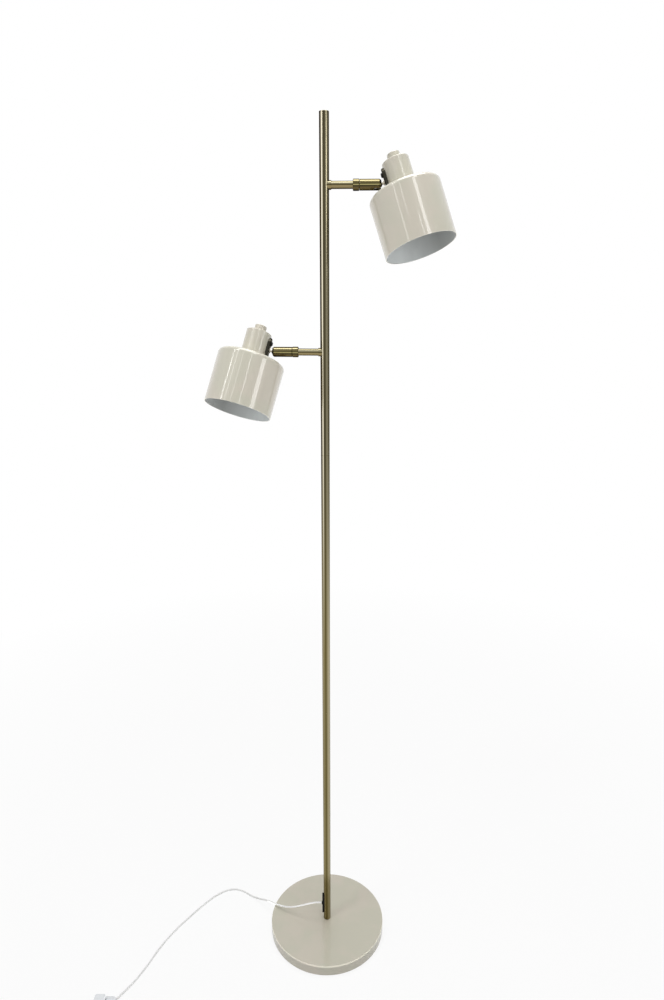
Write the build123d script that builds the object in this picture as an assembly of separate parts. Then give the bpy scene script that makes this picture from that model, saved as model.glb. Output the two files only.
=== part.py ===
from build123d import *
import os
from math import cos, pi, radians, sin, sqrt, tan

os.makedirs("parts", exist_ok=True)

# Two-spot floor lamp. Millimetres, +Z up, origin on the floor at the pole's axis.
# The arms lie along X: the upper one points to +X, the lower one to -X.

# Base
base_radius = 116.0
base_height = 24.0
cover_wall = 1.2
cover_edge_radius = 1.6
pad_radius = 113.0
pad_height = 2.0
weight_radius = 114.0
foot_hole_radius = 5.2
stud_radius = 4.9
recess_radius = 17.0
recess_depth = 10.0
foot_insert_top = 38.0

# Pole: three tubes screwed end to end, with a flat cap
pole_radius = 7.0
pole_bore = 6.0
lower_joint = 530.6
upper_joint = 1015.4
lamp_height = 1500.0
cap_thickness = 1.6
coupling_radius = 5.95
coupling_bore = 4.25
coupling_length = 50.0
joint_line = 0.25

# Cord outlet on the foot of the pole
outlet_height = 63.5
outlet_length = 50.0
outlet_width = 9.0
outlet_proud = 3.0
outlet_boss_radius = 3.6
outlet_boss_reach = 11.0

# Leads inside the pole
lead_radius = 1.3
lead_bend = 4.4
right_lane = (0, 2.7)
left_lane = (0.5, -1.0)

# Arms, measured along the arm from the pole's axis
right_arm_height = 1408.0
left_arm_height = 1176.7
saddle_radius = 6.2
saddle_end = 10.0
rod_radius = 5.25
rod_spigot_radius = 3.0
rod_bore = 1.7
rod_spigot_start = 3.2
rod_shoulder = 44.0
journal_radius = 4.5
journal_end = 58.7
thread_radius = 3.9
rod_end = 62.4
collar_radius = 7.9
collar_start = 41.0
sleeve_start = 50.3
sleeve_radius = 7.5
sleeve_end = 81.0
sleeve_neck_bore = 4.56
chamber_start = 58.4
chamber_radius = 5.7
lip_radius = 5.12
sleeve_slot_width = 5.6
sleeve_slot_start = 71.0
sleeve_turn = 28.0

# Ball joint
ball_reach = 77.5
ball_radius = 5.3
ball_gap = 0.3
neck_radius = 2.25
shank_radius = 2.4
shank_end = 17.3
stud_shoulder_radius = 4.0
stud_shoulder_start, stud_shoulder_end = 6.6, 8.1
right_tilt, right_twist = 19.2, -14.8
left_tilt, left_twist = 15.1, 23.3

# Head, in its own frame: origin at the middle of the shade's top, Z along its axis,
# X pointing away from the ball joint
head_reach = 31.0
stud_height = 20.0
shade_radius = 52.2
shade_length = 83.2
shade_wall = 1.0
shade_edge = 6.0
shade_hole = 14.2
shade_ring_radius = 18.0
hood_radius = 19.7
hood_height = 42.2
hood_wall = 1.2
hood_edge = 1.2
plate_low, plate_high = 6.0, 38.5
plate_width = 19.0
plate_face = 22.3
plate_chamfer = 1.2
screw_height = 30.0
screw_radius = 1.5
screw_head_radius, screw_head_height = 3.4, 2.3
screw_nut_height = 2.4
hole_clearance = 0.3
strap_width, strap_thickness = 10.0, 1.5
strap_low, strap_high = 25.0, 36.5
strap_reach = 8.0
strap_back = sqrt((hood_radius - hood_wall) ** 2 - (strap_width / 2) ** 2) - 0.05
nipple_radius, nipple_top = 4.9, 30.5
holder_radius = 13.0
holder_flange_radius, holder_flange = 17.0, 1.6
holder_skirt_radius, holder_skirt_low = 13.8, -6.0
holder_bore, holder_bore_top = 8.0, 16.0
knob_radius = 9.2
knob_bottom, knob_top = 42.6, 52.7
knob_wall = 1.4
knob_edge = 1.0
knob_stem_radius, knob_stem_low = 2.0, 33.0
switch_body_radius, switch_body_low = 8.6, 31.6
bush_radius, bush_top = 4.6, 46.6
bulb_radius = 22.5
bulb_low = -51.0
bulb_neck = -7.0
bulb_neck_radius = 9.5
bulb_wall = 1.2
screw_cap_radius, screw_cap_top = 6.9, 11.0
contact_radius, contact_top = 2.6, 15.2

# Cord
cord_radius = 1.7
cord_floor = cord_radius + 0.05
coil_pitch = 4.0
coil_mean_radius = 20.4
coil_floor = cord_floor + 0.25
coil_layers = 4
turns_per_layer = 2.5
coil_centre = (-347.0, -267.0)

# Foot switch, in its own frame: Y points to the lamp, origin on the floor under its middle
switch_place = Pos(-400.0, -231.0, 0) * Rot(0, 0, 4)
switch_width = 44.0
switch_length = 66.0
switch_split = 8.0
switch_height = 16.0
switch_corner = 10.0
switch_wall = 2.2
cord_height = 5.5
entry_angle = 30.0
entry_depth = 3.0
exit_offset = 12.0
pedal_left, pedal_right = -19.0, 1.5
pedal_near, pedal_far = -8.0, 29.5
pedal_bottom, pedal_low, pedal_high = 6.0, 18.0, 25.5
pedal_gap = 0.8
pedal_pivot = (-4.0, 11.0)

# Plug, in its own frame: Z from the cord's end to the pins
plug_body_length = 36.0
plug_pin_length = 19.0
plug_pin_spacing = 19.0
plug_height = 7.0


def ring(outer, inner, low, high):
    """A plain ring about Z."""
    outside = Cylinder(outer, high - low, align=(Align.CENTER, Align.CENTER, Align.MIN))
    if inner > 0:
        outside -= Cylinder(inner, high - low, align=(Align.CENTER, Align.CENTER, Align.MIN))
    return Pos(0, 0, low) * outside


def turned(*outline):
    """A solid turned about Z from (radius, height) corners."""
    corners = [(radius, 0, height) for radius, height in outline]
    return revolve(make_face(Polyline(*corners, close=True)), Axis.Z, 360)


def hexagon(across_flats, bore, low, high):
    """A hexagon nut about Z."""
    face = RegularPolygon(across_flats / 2, 6, major_radius=False)
    return Pos(0, 0, low) * extrude(face, high - low) - ring(bore, 0, low - 1, high + 1)


def along_arm(shape):
    """Lays a shape made about Z along +X."""
    return Rot(0, 90, 0) * shape


def save(node, *solids):
    """Writes one sub-part."""
    shape = solids[0] if len(solids) == 1 else Compound(children=list(solids))
    export_step(shape, f"parts/{node}.step")
    return shape


# Base ------------------------------------------------------------------------------------


def base_cover():
    """Pressed steel cover with a rounded upper edge, open below."""
    outside = ring(base_radius, foot_hole_radius, 1.0, base_height)
    outside = fillet(outside.edges().filter_by(GeomType.CIRCLE).sort_by(Axis.Z)[-2:].sort_by(
        SortBy.RADIUS)[-1], cover_edge_radius)
    return outside - ring(base_radius - cover_wall, 0, 0, base_height - cover_wall)


def base_weight():
    """Cast iron disc with a recess for the foot nut."""
    top = base_height - cover_wall
    return (
        ring(weight_radius, foot_hole_radius, pad_height, top)
        - ring(recess_radius, 0, 0, pad_height + recess_depth)
    )


def base_stud():
    """Threaded stud with a plain head that fits in the pole's foot."""
    return turned(
        (0, 4.4), (stud_radius - 0.6, 4.4), (stud_radius, 5.0), (stud_radius, base_height),
        (coupling_radius, base_height), (coupling_radius, foot_insert_top), (0, foot_insert_top),
    )


def foot_nut():
    """Hexagon nut and its washer under the weight."""
    seat = pad_height + recess_depth
    washer = ring(15.0, stud_radius + 0.2, seat - 2.0, seat)
    nut = hexagon(17.0, stud_radius + 0.05, seat - 9.6, seat - 2.0)
    return nut, washer


save("base_cover", base_cover())
save("base_weight", base_weight())
save("base_pad", ring(pad_radius, 0, 0, pad_height))
save("base_stud", base_stud())
save("foot_nut", *foot_nut())


# Pole ------------------------------------------------------------------------------------


def pole_tube(low, high):
    """One tube, its outer ends broken so that the joint shows as a fine line."""
    return turned(
        (pole_bore, low), (pole_radius - joint_line, low), (pole_radius, low + joint_line),
        (pole_radius, high - joint_line), (pole_radius - joint_line, high), (pole_bore, high),
    )


def arm_hole(height, direction):
    """The hole that an arm's spigot goes through."""
    hole = ring(rod_spigot_radius + 0.1, 0, 3.0, saddle_end)
    return Pos(0, 0, height) * Rot(0, 0, 0 if direction > 0 else 180) * along_arm(hole)


def outlet_blank(width, length, inner, outer):
    """A rounded oblong wrapped round the pole's left side at the outlet's height."""
    flat = SlotOverall(length, width)
    bar = extrude(Rot(0, -90, 0) * flat, 20.0, dir=(-1, 0, 0))
    wrap = ring(outer, inner, -length, length)
    return Pos(0, 0, outlet_height) * (bar & wrap)


def cord_outlet():
    """Moulded grommet: a long curved flange, a tongue in the pole's slot and a short boss."""
    flange = outlet_blank(outlet_width, outlet_length, pole_radius, pole_radius + outlet_proud)
    tongue = outlet_blank(5.0, outlet_length - 8.0, pole_bore - 0.5, pole_radius + 0.5)
    boss = ring(outlet_boss_radius, 0, pole_radius + 1.0, outlet_boss_reach)
    return flange + tongue + Pos(0, 0, outlet_height) * Rot(0, 0, 180) * along_arm(boss)


def pole_couplings():
    """Threaded sleeves inside the two pole joints."""
    half = coupling_length / 2
    return [
        ring(coupling_radius, coupling_bore, joint - half, joint + half)
        for joint in (lower_joint, upper_joint)
    ]


def pole_cap():
    """Flat cap with a spigot in the pole's open end."""
    seat = lamp_height - cap_thickness
    return turned(
        (0, seat - 8.0), (coupling_radius, seat - 8.0), (coupling_radius, seat),
        (pole_radius, seat), (pole_radius, lamp_height - 0.5), (pole_radius - 0.5, lamp_height),
        (0, lamp_height),
    )


def inner_lead(start, lane, arm_height, end):
    """One lead: from the outlet up its lane of the pole's bore and into an arm's rod."""
    corners = [
        (-3.8, start, outlet_height), (lane[0], lane[1], outlet_height + 16.0),
        (lane[0], lane[1], arm_height - 45.0), (lane[0], 0, arm_height - 22.0),
        (lane[0], 0, arm_height), (end, 0, arm_height),
    ]
    path = FilletPolyline(*corners, radius=[20.0, 20.0, 20.0, lead_bend])
    return sweep(Plane(path @ 0, z_dir=path % 0) * Circle(lead_radius), path=path)


lower_tube = pole_tube(base_height, lower_joint) - outlet_blank(5.2, outlet_length - 7.8, 4.0, 9.0)
save("pole_lower", lower_tube)
save("pole_middle", pole_tube(lower_joint, upper_joint))
upper_tube = pole_tube(upper_joint, lamp_height - cap_thickness)
upper_tube -= arm_hole(right_arm_height, 1)
upper_tube -= arm_hole(left_arm_height, -1)
save("pole_upper", upper_tube)
save("pole_couplings", *pole_couplings())
save("pole_cap", pole_cap())
save("cord_outlet", cord_outlet())


# Arms ------------------------------------------------------------------------------------


def arm_rod():
    """Drawn rod: spigot through the pole, plain arm, journal and threaded end, bored for the lead."""
    return along_arm(turned(
        (rod_bore, rod_spigot_start), (rod_spigot_radius, rod_spigot_start),
        (rod_spigot_radius, saddle_end), (rod_radius, saddle_end), (rod_radius, rod_shoulder),
        (journal_radius, rod_shoulder), (journal_radius, journal_end), (thread_radius, journal_end),
        (thread_radius, rod_end), (rod_bore, rod_end),
    ))


def arm_saddle():
    """Washer between rod and pole, its inner end hollowed to the pole's round."""
    washer = along_arm(ring(saddle_radius, rod_spigot_radius + 0.05, 4.0, saddle_end))
    return washer - ring(pole_radius, 0, -20.0, 20.0)


def arm_nut():
    """Thin nut that holds the rod's spigot inside the pole."""
    return along_arm(ring(3.9, rod_spigot_radius + 0.02, rod_spigot_start, rod_spigot_start + 1.2))


def joint_collar():
    """Turned collar pressed on the rod against its shoulder."""
    return along_arm(turned(
        (rod_radius, collar_start), (collar_radius - 0.6, collar_start),
        (collar_radius, collar_start + 0.6), (collar_radius, sleeve_start - 0.8),
        (collar_radius - 0.4, sleeve_start - 0.4), (journal_radius, sleeve_start - 0.4),
        (journal_radius, rod_shoulder), (rod_radius, rod_shoulder),
    ))


def joint_sleeve():
    """Brass barrel that turns on the rod's journal, with the ball's seat and a slot below."""
    barrel = along_arm(turned(
        (sleeve_neck_bore, sleeve_start), (sleeve_radius - 0.4, sleeve_start),
        (sleeve_radius, sleeve_start + 0.4), (sleeve_radius, sleeve_end - 2.4),
        (lip_radius + 0.9, sleeve_end), (lip_radius, sleeve_end), (lip_radius, sleeve_end - 1.1),
        (chamber_radius, sleeve_end - 2.4), (chamber_radius, chamber_start),
        (sleeve_neck_bore, chamber_start),
    ))
    slot_length = sleeve_end - sleeve_slot_start + 1.0
    slot = Box(slot_length, sleeve_slot_width, 10.0, align=(Align.MIN, Align.CENTER, Align.MAX))
    return barrel - Pos(sleeve_slot_start, 0, 0) * slot


def journal_nut():
    """Round nut that keeps the sleeve on the journal."""
    return along_arm(ring(chamber_radius - 0.35, thread_radius + 0.02, journal_end + 0.1, rod_end - 0.2))


def disc_springs():
    """Four cupped spring washers that press the cup on the ball."""
    start, height, thickness = rod_end + 0.3, 1.7, 0.7
    springs = []
    for number in range(4):
        low = start + number * height
        wide, narrow = (low, low + height - thickness)
        if number % 2:
            wide, narrow = narrow, wide
        springs.append(along_arm(turned(
            (2.4, narrow), (5.5, wide), (5.5, wide + thickness), (2.4, narrow + thickness),
        )))
    return springs


def pressure_cup():
    """Cup that bears on the back of the ball."""
    blank = ring(chamber_radius - 0.05, 2.0, rod_end + 7.2, ball_reach - 2.5)
    return along_arm(blank) - Pos(ball_reach, 0, 0) * Sphere(ball_radius + 0.3)


def ball_stud():
    """Ball, neck, shoulder and threaded shank in one piece. Origin at the ball's centre."""
    ball = Sphere(ball_radius)
    stem = turned(
        (0, 0), (neck_radius, 0), (neck_radius, stud_shoulder_start),
        (stud_shoulder_radius, stud_shoulder_start), (stud_shoulder_radius, stud_shoulder_end),
        (shank_radius, stud_shoulder_end), (shank_radius, shank_end), (0, shank_end),
    )
    return ball + along_arm(stem)


def stud_nut():
    """Washer and hexagon nut on the stud, inside the hood."""
    wall = head_reach - hood_radius + hood_wall
    washer = along_arm(ring(4.4, shank_radius + 0.05, wall + 0.6, wall + 1.4))
    nut = along_arm(hexagon(7.4, shank_radius + 0.02, wall + 1.4, wall + 4.4))
    return washer, nut


# Head ------------------------------------------------------------------------------------


def side_hole(radius, height):
    """A hole through the hood's wall on the side of the joint."""
    return Pos(0, 0, height) * Rot(0, -90, 0) * ring(radius, 0, 10.0, 40.0)


def hood():
    """Small closed cylinder over the lampholder, open below."""
    outside = ring(hood_radius, 0, 0, hood_height)
    outside = fillet(outside.edges().filter_by(GeomType.CIRCLE).sort_by(Axis.Z)[-1], hood_edge)
    shell = outside - ring(hood_radius - hood_wall, 0, -1.0, hood_height - hood_wall)
    shell -= ring(bush_radius + 0.1, 0, hood_height - 3.0, hood_height + 1.0)
    shell -= side_hole(shank_radius + hole_clearance, stud_height)
    return shell - side_hole(screw_radius + 0.1, screw_height)


def bracket_plate():
    """Rounded plate between stud and hood, hollowed at the back to the hood's round."""
    middle = (plate_low + plate_high) / 2
    outline = Rot(0, -90, 0) * SlotOverall(plate_high - plate_low, plate_width)
    bar = Pos(-plate_face, 0, middle) * extrude(outline, plate_face - 10.0, dir=(1, 0, 0))
    bar -= ring(hood_radius, 0, 0, hood_height)
    bar = chamfer(bar.faces().sort_by(Axis.X)[0].edges(), plate_chamfer)
    bar -= side_hole(shank_radius + hole_clearance, stud_height)
    return bar - side_hole(screw_radius + 0.1, screw_height)


def bracket_screw():
    """Pan-head screw through plate, hood and strap, with its nut."""
    rim = plate_face + screw_head_height / 2
    head = turned(
        (0, plate_face), (screw_head_radius, plate_face), (screw_head_radius, rim),
        (screw_head_radius - 1.0, plate_face + screw_head_height),
        (0, plate_face + screw_head_height),
    )
    nut_seat = strap_back - strap_thickness
    nut_end = nut_seat - screw_nut_height
    shank = ring(screw_radius, 0, nut_end - 0.7, plate_face + 0.1)
    nut = Rot(0, 0, 30) * hexagon(5.5, screw_radius + 0.02, nut_end, nut_seat)
    lay = Pos(0, 0, screw_height) * Rot(0, -90, 0)
    return lay * (head + shank), lay * nut


def holder_strap():
    """Bent strap from the hood's wall to the lampholder's nipple."""
    corner = (Align.MIN, Align.CENTER, Align.MIN)
    upright = Box(strap_thickness, strap_width, strap_high - strap_low, align=corner)
    shelf = Box(strap_back + strap_reach, strap_width, strap_thickness, align=corner)
    strap = Pos(-strap_back, 0, strap_low) * (upright + shelf)
    strap -= side_hole(screw_radius + 0.1, screw_height)
    return strap - ring(nipple_radius + 0.05, 0, strap_low - 1.0, strap_low + 3.0)


def lampholder():
    """Moulded holder: nipple, dome, flange on the shade and threaded skirt through its hole."""
    return turned(
        (2.5, nipple_top), (nipple_radius, nipple_top), (nipple_radius, strap_low),
        (nipple_radius + 2.1, strap_low), (holder_radius, strap_low - 6.0),
        (holder_radius, holder_flange), (holder_flange_radius, holder_flange),
        (holder_flange_radius, 0), (holder_skirt_radius, 0), (holder_skirt_radius, holder_skirt_low),
        (holder_bore, holder_skirt_low), (holder_bore, holder_bore_top), (2.5, holder_bore_top),
    )


def shade():
    """Spun steel shade with a rounded upper edge and a hole for the lampholder."""
    outside = ring(shade_radius, 0, -shade_length, 0)
    outside = fillet(outside.edges().filter_by(GeomType.CIRCLE).sort_by(Axis.Z)[-1], shade_edge)
    inside = ring(shade_radius - shade_wall, 0, -shade_length - 1.0, -shade_wall - 0.2)
    inside = fillet(
        inside.edges().filter_by(GeomType.CIRCLE).sort_by(Axis.Z)[-1], shade_edge - shade_wall)
    return outside - inside - ring(shade_hole, 0, -3.0, 1.0)


def shade_ring():
    """Threaded ring that clamps the shade to the lampholder."""
    top = -shade_wall - 0.2
    grip = ring(shade_ring_radius, holder_skirt_radius + 0.1, top - 4.0, top)
    return chamfer(grip.edges().filter_by(GeomType.CIRCLE).sort_by(Axis.Z)[:2], 0.5)


def bulb():
    """Frosted golf-ball bulb, hollow glass, open at its neck."""
    centre = bulb_low + bulb_radius
    shoulder = centre + sqrt(bulb_radius ** 2 - bulb_neck_radius ** 2)
    below = ring(bulb_radius + 1.0, 0, bulb_low - 1.0, shoulder)
    globe = Pos(0, 0, centre) * Sphere(bulb_radius) & below
    globe += ring(bulb_neck_radius, 0, shoulder - 0.2, bulb_neck)
    hollow = Pos(0, 0, centre) * Sphere(bulb_radius - bulb_wall) & below
    hollow += ring(bulb_neck_radius - bulb_wall, 0, shoulder - 3.0, bulb_neck + 1.0)
    return globe - hollow


def bulb_base():
    """Screw base of the bulb with its end contact."""
    return turned(
        (0, bulb_neck), (bulb_neck_radius, bulb_neck), (screw_cap_radius, bulb_neck + 1.6),
        (screw_cap_radius, screw_cap_top), (contact_radius + 1.4, screw_cap_top + 2.5),
        (contact_radius, screw_cap_top + 2.5), (contact_radius, contact_top), (0, contact_top),
    )


def rotary_switch():
    """Switch body under the hood's top, its threaded bush and the bush's nut."""
    under = hood_height - hood_wall
    bore = knob_stem_radius + 0.08
    body = ring(switch_body_radius, bore, switch_body_low, under)
    bush = ring(bush_radius, bore, under - 0.1, bush_top)
    nut = hexagon(12.0, bush_radius + 0.02, hood_height, hood_height + 2.0)
    return body + bush, nut


def switch_knob():
    """Painted round knob, hollow below, with its stem in the switch."""
    top = ring(knob_radius, 0, knob_bottom, knob_top)
    top = fillet(top.edges().filter_by(GeomType.CIRCLE).sort_by(Axis.Z)[-1], knob_edge)
    ceiling = bush_top + 0.6
    top -= ring(knob_radius - knob_wall, 0, knob_bottom - 1.0, ceiling)
    return top + ring(knob_stem_radius, 0, knob_stem_low, ceiling + 0.5)


def arm_place(direction, height):
    """Frame of an arm: X along it, away from the pole."""
    return Pos(0, 0, height) * Rot(0, 0, 0 if direction > 0 else 180)


def head_places(direction, height, tilt, twist):
    """Frames of the tilted ball stud and of the head that it carries."""
    ball = arm_place(direction, height) * Pos(ball_reach, 0, 0) * Rot(0, -tilt, 0)
    turn = ball * Rot(twist, 0, 0)
    return turn, turn * Pos(head_reach, 0, -stud_height)


def save_head(side, direction, height, tilt, twist):
    """Writes the pieces of one joint and head."""
    arm = arm_place(direction, height)
    stud, head = head_places(direction, height, tilt, twist)
    save(f"{side}_arm_rod", arm * arm_rod())
    save(f"{side}_joint_sleeve", arm * Rot(-direction * sleeve_turn, 0, 0) * joint_sleeve())
    save(f"{side}_disc_springs", *[arm * spring for spring in disc_springs()])
    save(f"{side}_pressure_cup", arm * pressure_cup())
    save(f"{side}_ball_stud", stud * ball_stud())
    save(f"{side}_stud_nut", *[stud * piece for piece in stud_nut()])
    save(f"{side}_bracket_plate", head * bracket_plate())
    save(f"{side}_bracket_screw", *[head * piece for piece in bracket_screw()])
    save(f"{side}_holder_strap", head * holder_strap())
    save(f"{side}_hood", head * hood())
    save(f"{side}_lampholder", head * lampholder())
    save(f"{side}_shade_ring", head * shade_ring())
    save(f"{side}_shade", head * shade())
    save(f"{side}_bulb", head * bulb())
    save(f"{side}_bulb_base", head * bulb_base())
    save(f"{side}_rotary_switch", *[head * piece for piece in rotary_switch()])
    save(f"{side}_switch_knob", head * switch_knob())


arms = [(1, right_arm_height), (-1, left_arm_height)]
save("arm_saddles", *[arm_place(*arm) * arm_saddle() for arm in arms])
save("arm_nuts", *[arm_place(*arm) * arm_nut() for arm in arms])
save("joint_collars", *[arm_place(*arm) * joint_collar() for arm in arms])
save("journal_nuts", *[arm_place(*arm) * journal_nut() for arm in arms])
save(
    "inner_leads", inner_lead(1.5, right_lane, right_arm_height, 38.0),
    inner_lead(-1.5, left_lane, left_arm_height, -38.0),
)
save_head("right", 1, right_arm_height, right_tilt, right_twist)
save_head("left", -1, left_arm_height, left_tilt, left_twist)


# Foot switch -----------------------------------------------------------------------------


def switch_block(low, high, inset=0.0):
    """The switch's rounded oblong between two heights."""
    outline = RectangleRounded(
        switch_width - 2 * inset, switch_length - 2 * inset, switch_corner - inset)
    return Pos(0, 0, low) * extrude(outline, high - low)


def entry_place():
    """Frame on the rounded corner where the lamp's cord goes in, Z pointing out."""
    out_x, out_y = sin(radians(entry_angle)), cos(radians(entry_angle))
    corner_x, corner_y = switch_width / 2 - switch_corner, switch_length / 2 - switch_corner
    point = (corner_x + switch_corner * out_x, corner_y + switch_corner * out_y, cord_height)
    return Location(Plane(point, z_dir=(out_x, out_y, 0)))


def exit_place():
    """Frame on the far end where the plug's cord comes out, Z pointing out."""
    return Location(Plane((exit_offset, -switch_length / 2, cord_height), z_dir=(0, -1, 0)))


def pedal_well():
    """Space that the pedal moves in."""
    wide = pedal_right - pedal_left + 2 * pedal_gap
    long = pedal_far - pedal_near + 2 * pedal_gap
    middle = ((pedal_left + pedal_right) / 2, (pedal_near + pedal_far) / 2)
    return Pos(*middle, 3.0) * extrude(RectangleRounded(wide, long, 5.0), switch_height)


def foot_switch_base():
    """Lower shell with the cord's two seats."""
    shell = switch_block(0, switch_split)
    shell -= pedal_well()
    for place in (entry_place(), exit_place()):
        shell -= place * ring(cord_radius + 0.1, 0, -entry_depth, 3.0)
    return shell


def foot_switch_cover():
    """Upper shell, rounded above, with the pedal's opening and its pivot's seats."""
    shell = switch_block(switch_split, switch_height)
    shell = fillet(shell.faces().sort_by(Axis.Z)[-1].edges(), 3.0)
    shell -= pedal_well()
    pivot_y, pivot_z = pedal_pivot
    wide = pedal_right - pedal_left + 2 * pedal_gap + 2.4
    seat = Pos((pedal_left + pedal_right) / 2, pivot_y, pivot_z) * Rot(0, 90, 0)
    return shell - seat * Cylinder(1.56, wide)


def foot_switch_pedal():
    """Sloping pedal that rocks on two short trunnions."""
    side = Polyline(
        (0, pedal_near + 2.0, pedal_bottom + 4.0), (0, pedal_far, pedal_bottom + 4.0),
        (0, pedal_far, pedal_high), (0, pedal_near, pedal_low), (0, pedal_near, pedal_bottom + 6.0),
        close=True,
    )
    wedge = Pos(pedal_left, 0, 0) * extrude(make_face(side), pedal_right - pedal_left, dir=(1, 0, 0))
    corners = wedge.edges().filter_by(Axis.Z)
    wedge = fillet(corners, 3.5)
    wedge = fillet(wedge.faces().sort_by(Axis.Z)[-1].edges(), 1.2)
    pivot_y, pivot_z = pedal_pivot
    wide = pedal_right - pedal_left + 2 * pedal_gap + 2.0
    pin = Pos((pedal_left + pedal_right) / 2, pivot_y, pivot_z) * Rot(0, 90, 0)
    return wedge + pin * Cylinder(1.5, wide)


def switch_screws():
    """Two countersunk screws on the right-hand side of the cover."""
    screws = []
    for along in (-22.0, 8.0):
        screws.append(Pos(14.5, along, 0) * turned(
            (0, 3.0), (1.4, 3.0), (1.4, switch_height - 1.4), (2.8, switch_height - 0.1),
            (0, switch_height - 0.1),
        ))
    return screws


screws = switch_screws()
switch_cover = foot_switch_cover()
switch_base = foot_switch_base()
for screw in screws:
    switch_cover -= screw
    switch_base -= screw
save("foot_switch_base", switch_place * switch_base)
save("foot_switch_cover", switch_place * switch_cover)
save("foot_switch_pedal", switch_place * foot_switch_pedal())
save("foot_switch_screws", *[switch_place * screw for screw in screws])


# Cord ------------------------------------------------------------------------------------


def in_world(place, point):
    """A point of a sub-part's frame in the lamp's frame."""
    moved = place * Pos(*point)
    return tuple(moved.position)


def tube_along(name, corners):
    """A round cord of straight runs and tangent arcs through the corners; prints its radii."""
    points = [Vector(*corner) for corner in corners]
    radii = []
    for before, here, after in zip(points, points[1:], points[2:]):
        turn = (here - before).get_angle(after - here)
        shorter = min((here - before).length, (after - here).length)
        radii.append(0.45 * shorter / tan(radians(turn / 2)))
    path = FilletPolyline(*corners, radius=radii)
    tube = sweep(Plane(path @ 0, z_dir=path % 0) * Circle(cord_radius), path=path)
    ideal = pi * cord_radius ** 2 * path.length
    print(name, "length", round(path.length, 1), "least radius", round(min(radii), 1),
          "radii", [round(radius) for radius in radii],
          "volume share", round(tube.volume / ideal, 4))
    return tube


entry = switch_place * entry_place()
entry_end = in_world(entry, (0, 0, -entry_depth))
entry_run = in_world(entry, (0, 0, 8.0))
exit_end = in_world(switch_place * exit_place(), (0, 0, -entry_depth))
exit_run = in_world(switch_place * exit_place(), (0, 0, 5.0))

# From the outlet over the base's edge to the floor, away behind the base's left side,
# then in a long curve towards the foot switch.
lamp_route = [
    (-outlet_boss_reach, 0, outlet_height), (-24, 0, outlet_height), (-46, 1, 54), (-69, 4, 42),
    (-90, 10, 34), (-112, 20, 30.5), (-133, 37, 21), (-152, 51, 8), (-173, 64, cord_floor),
    (-196, 78, cord_floor), (-222, 80, cord_floor), (-246, 65, cord_floor),
    (-268, 40, cord_floor), (-291, 6, cord_floor), (-318, -37, cord_floor),
    (-337, -79, cord_floor), (-348.5, -119, cord_floor), (-361.5, -151, cord_floor),
    (-371.5, -172, 3.2), entry_run, entry_end,
]


def biarc(start, start_way, end, end_way):
    """Two tangent arcs from one point and direction to another."""
    span = end - start
    ways = start_way + end_way
    a = 2 * (1 - start_way.dot(end_way))
    b = 2 * span.dot(ways)
    c = -span.dot(span)
    reach = -c / b if abs(a) < 1e-9 else (-b + sqrt(b * b - 4 * a * c)) / (2 * a)
    joint = (start + end + (start_way - end_way) * reach) * 0.5
    first = TangentArc(start, joint, tangent=start_way)
    return [first, TangentArc(joint, end, tangent=first % 1)]


def coil_point(turn):
    """Centre of the cord after so many turns: layers spiral in and out, one above the other."""
    layer = min(int(turn / turns_per_layer), coil_layers - 1)
    into = turn - layer * turns_per_layer
    outer = coil_mean_radius + coil_pitch * turns_per_layer / 2
    inner = outer - coil_pitch * turns_per_layer
    radius = outer - coil_pitch * into if layer % 2 == 0 else inner + coil_pitch * into
    height = coil_floor + coil_pitch * layer
    for reversal in range(1, coil_layers):
        away = turn - reversal * turns_per_layer
        if abs(away) < 0.25:
            height = coil_floor + coil_pitch * (reversal - 0.5 + 2 * away)
    angle = 2 * pi * turn - pi / 2
    return Vector(
        coil_centre[0] + radius * cos(angle), coil_centre[1] + radius * sin(angle), height)


def coil_way(turn):
    """Direction of the cord after so many turns."""
    step = 1e-4
    ahead = coil_point(turn + step) - coil_point(turn)
    behind = coil_point(turn) - coil_point(turn - step)
    return (ahead.normalized() + behind.normalized()).normalized()


def cord_coil():
    """The stored length: one tube wound in four layers; prints its length and least gap."""
    quarters = round(4 * turns_per_layer * coil_layers)
    first_way, last_way = Vector(1, 0, 0), Vector(1, 0, 0)
    edges = []
    for quarter in range(quarters):
        start, end = coil_point(quarter / 4), coil_point((quarter + 1) / 4)
        start_way = first_way if quarter == 0 else coil_way(quarter / 4)
        end_way = last_way if quarter == quarters - 1 else coil_way((quarter + 1) / 4)
        edges += biarc(start, start_way, end, end_way)
    lead_in = Line(coil_point(0) - first_way * 2 * cord_radius, coil_point(0))
    last = coil_point(quarters / 4)
    lead_out = Line(last, last + last_way * 2 * cord_radius)
    path = Wire([lead_in, *edges, lead_out])
    coil = sweep(Plane(path @ 0, z_dir=path % 0) * Circle(cord_radius), path=path)
    fine = [path @ (number / 2400) for number in range(2401)]
    apart = round(2400 * 60.0 / path.length)
    gap = min(
        (fine[i] - fine[j]).length
        for i in range(0, 2401, 2) for j in range(i + apart, 2401, 2)
    ) - 2 * cord_radius
    print("coil length", round(path.length, 1), "least gap to itself", round(gap, 3),
          "volume share", round(coil.volume / (pi * cord_radius ** 2 * path.length), 4))
    return coil, path @ 0, path @ 1


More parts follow.
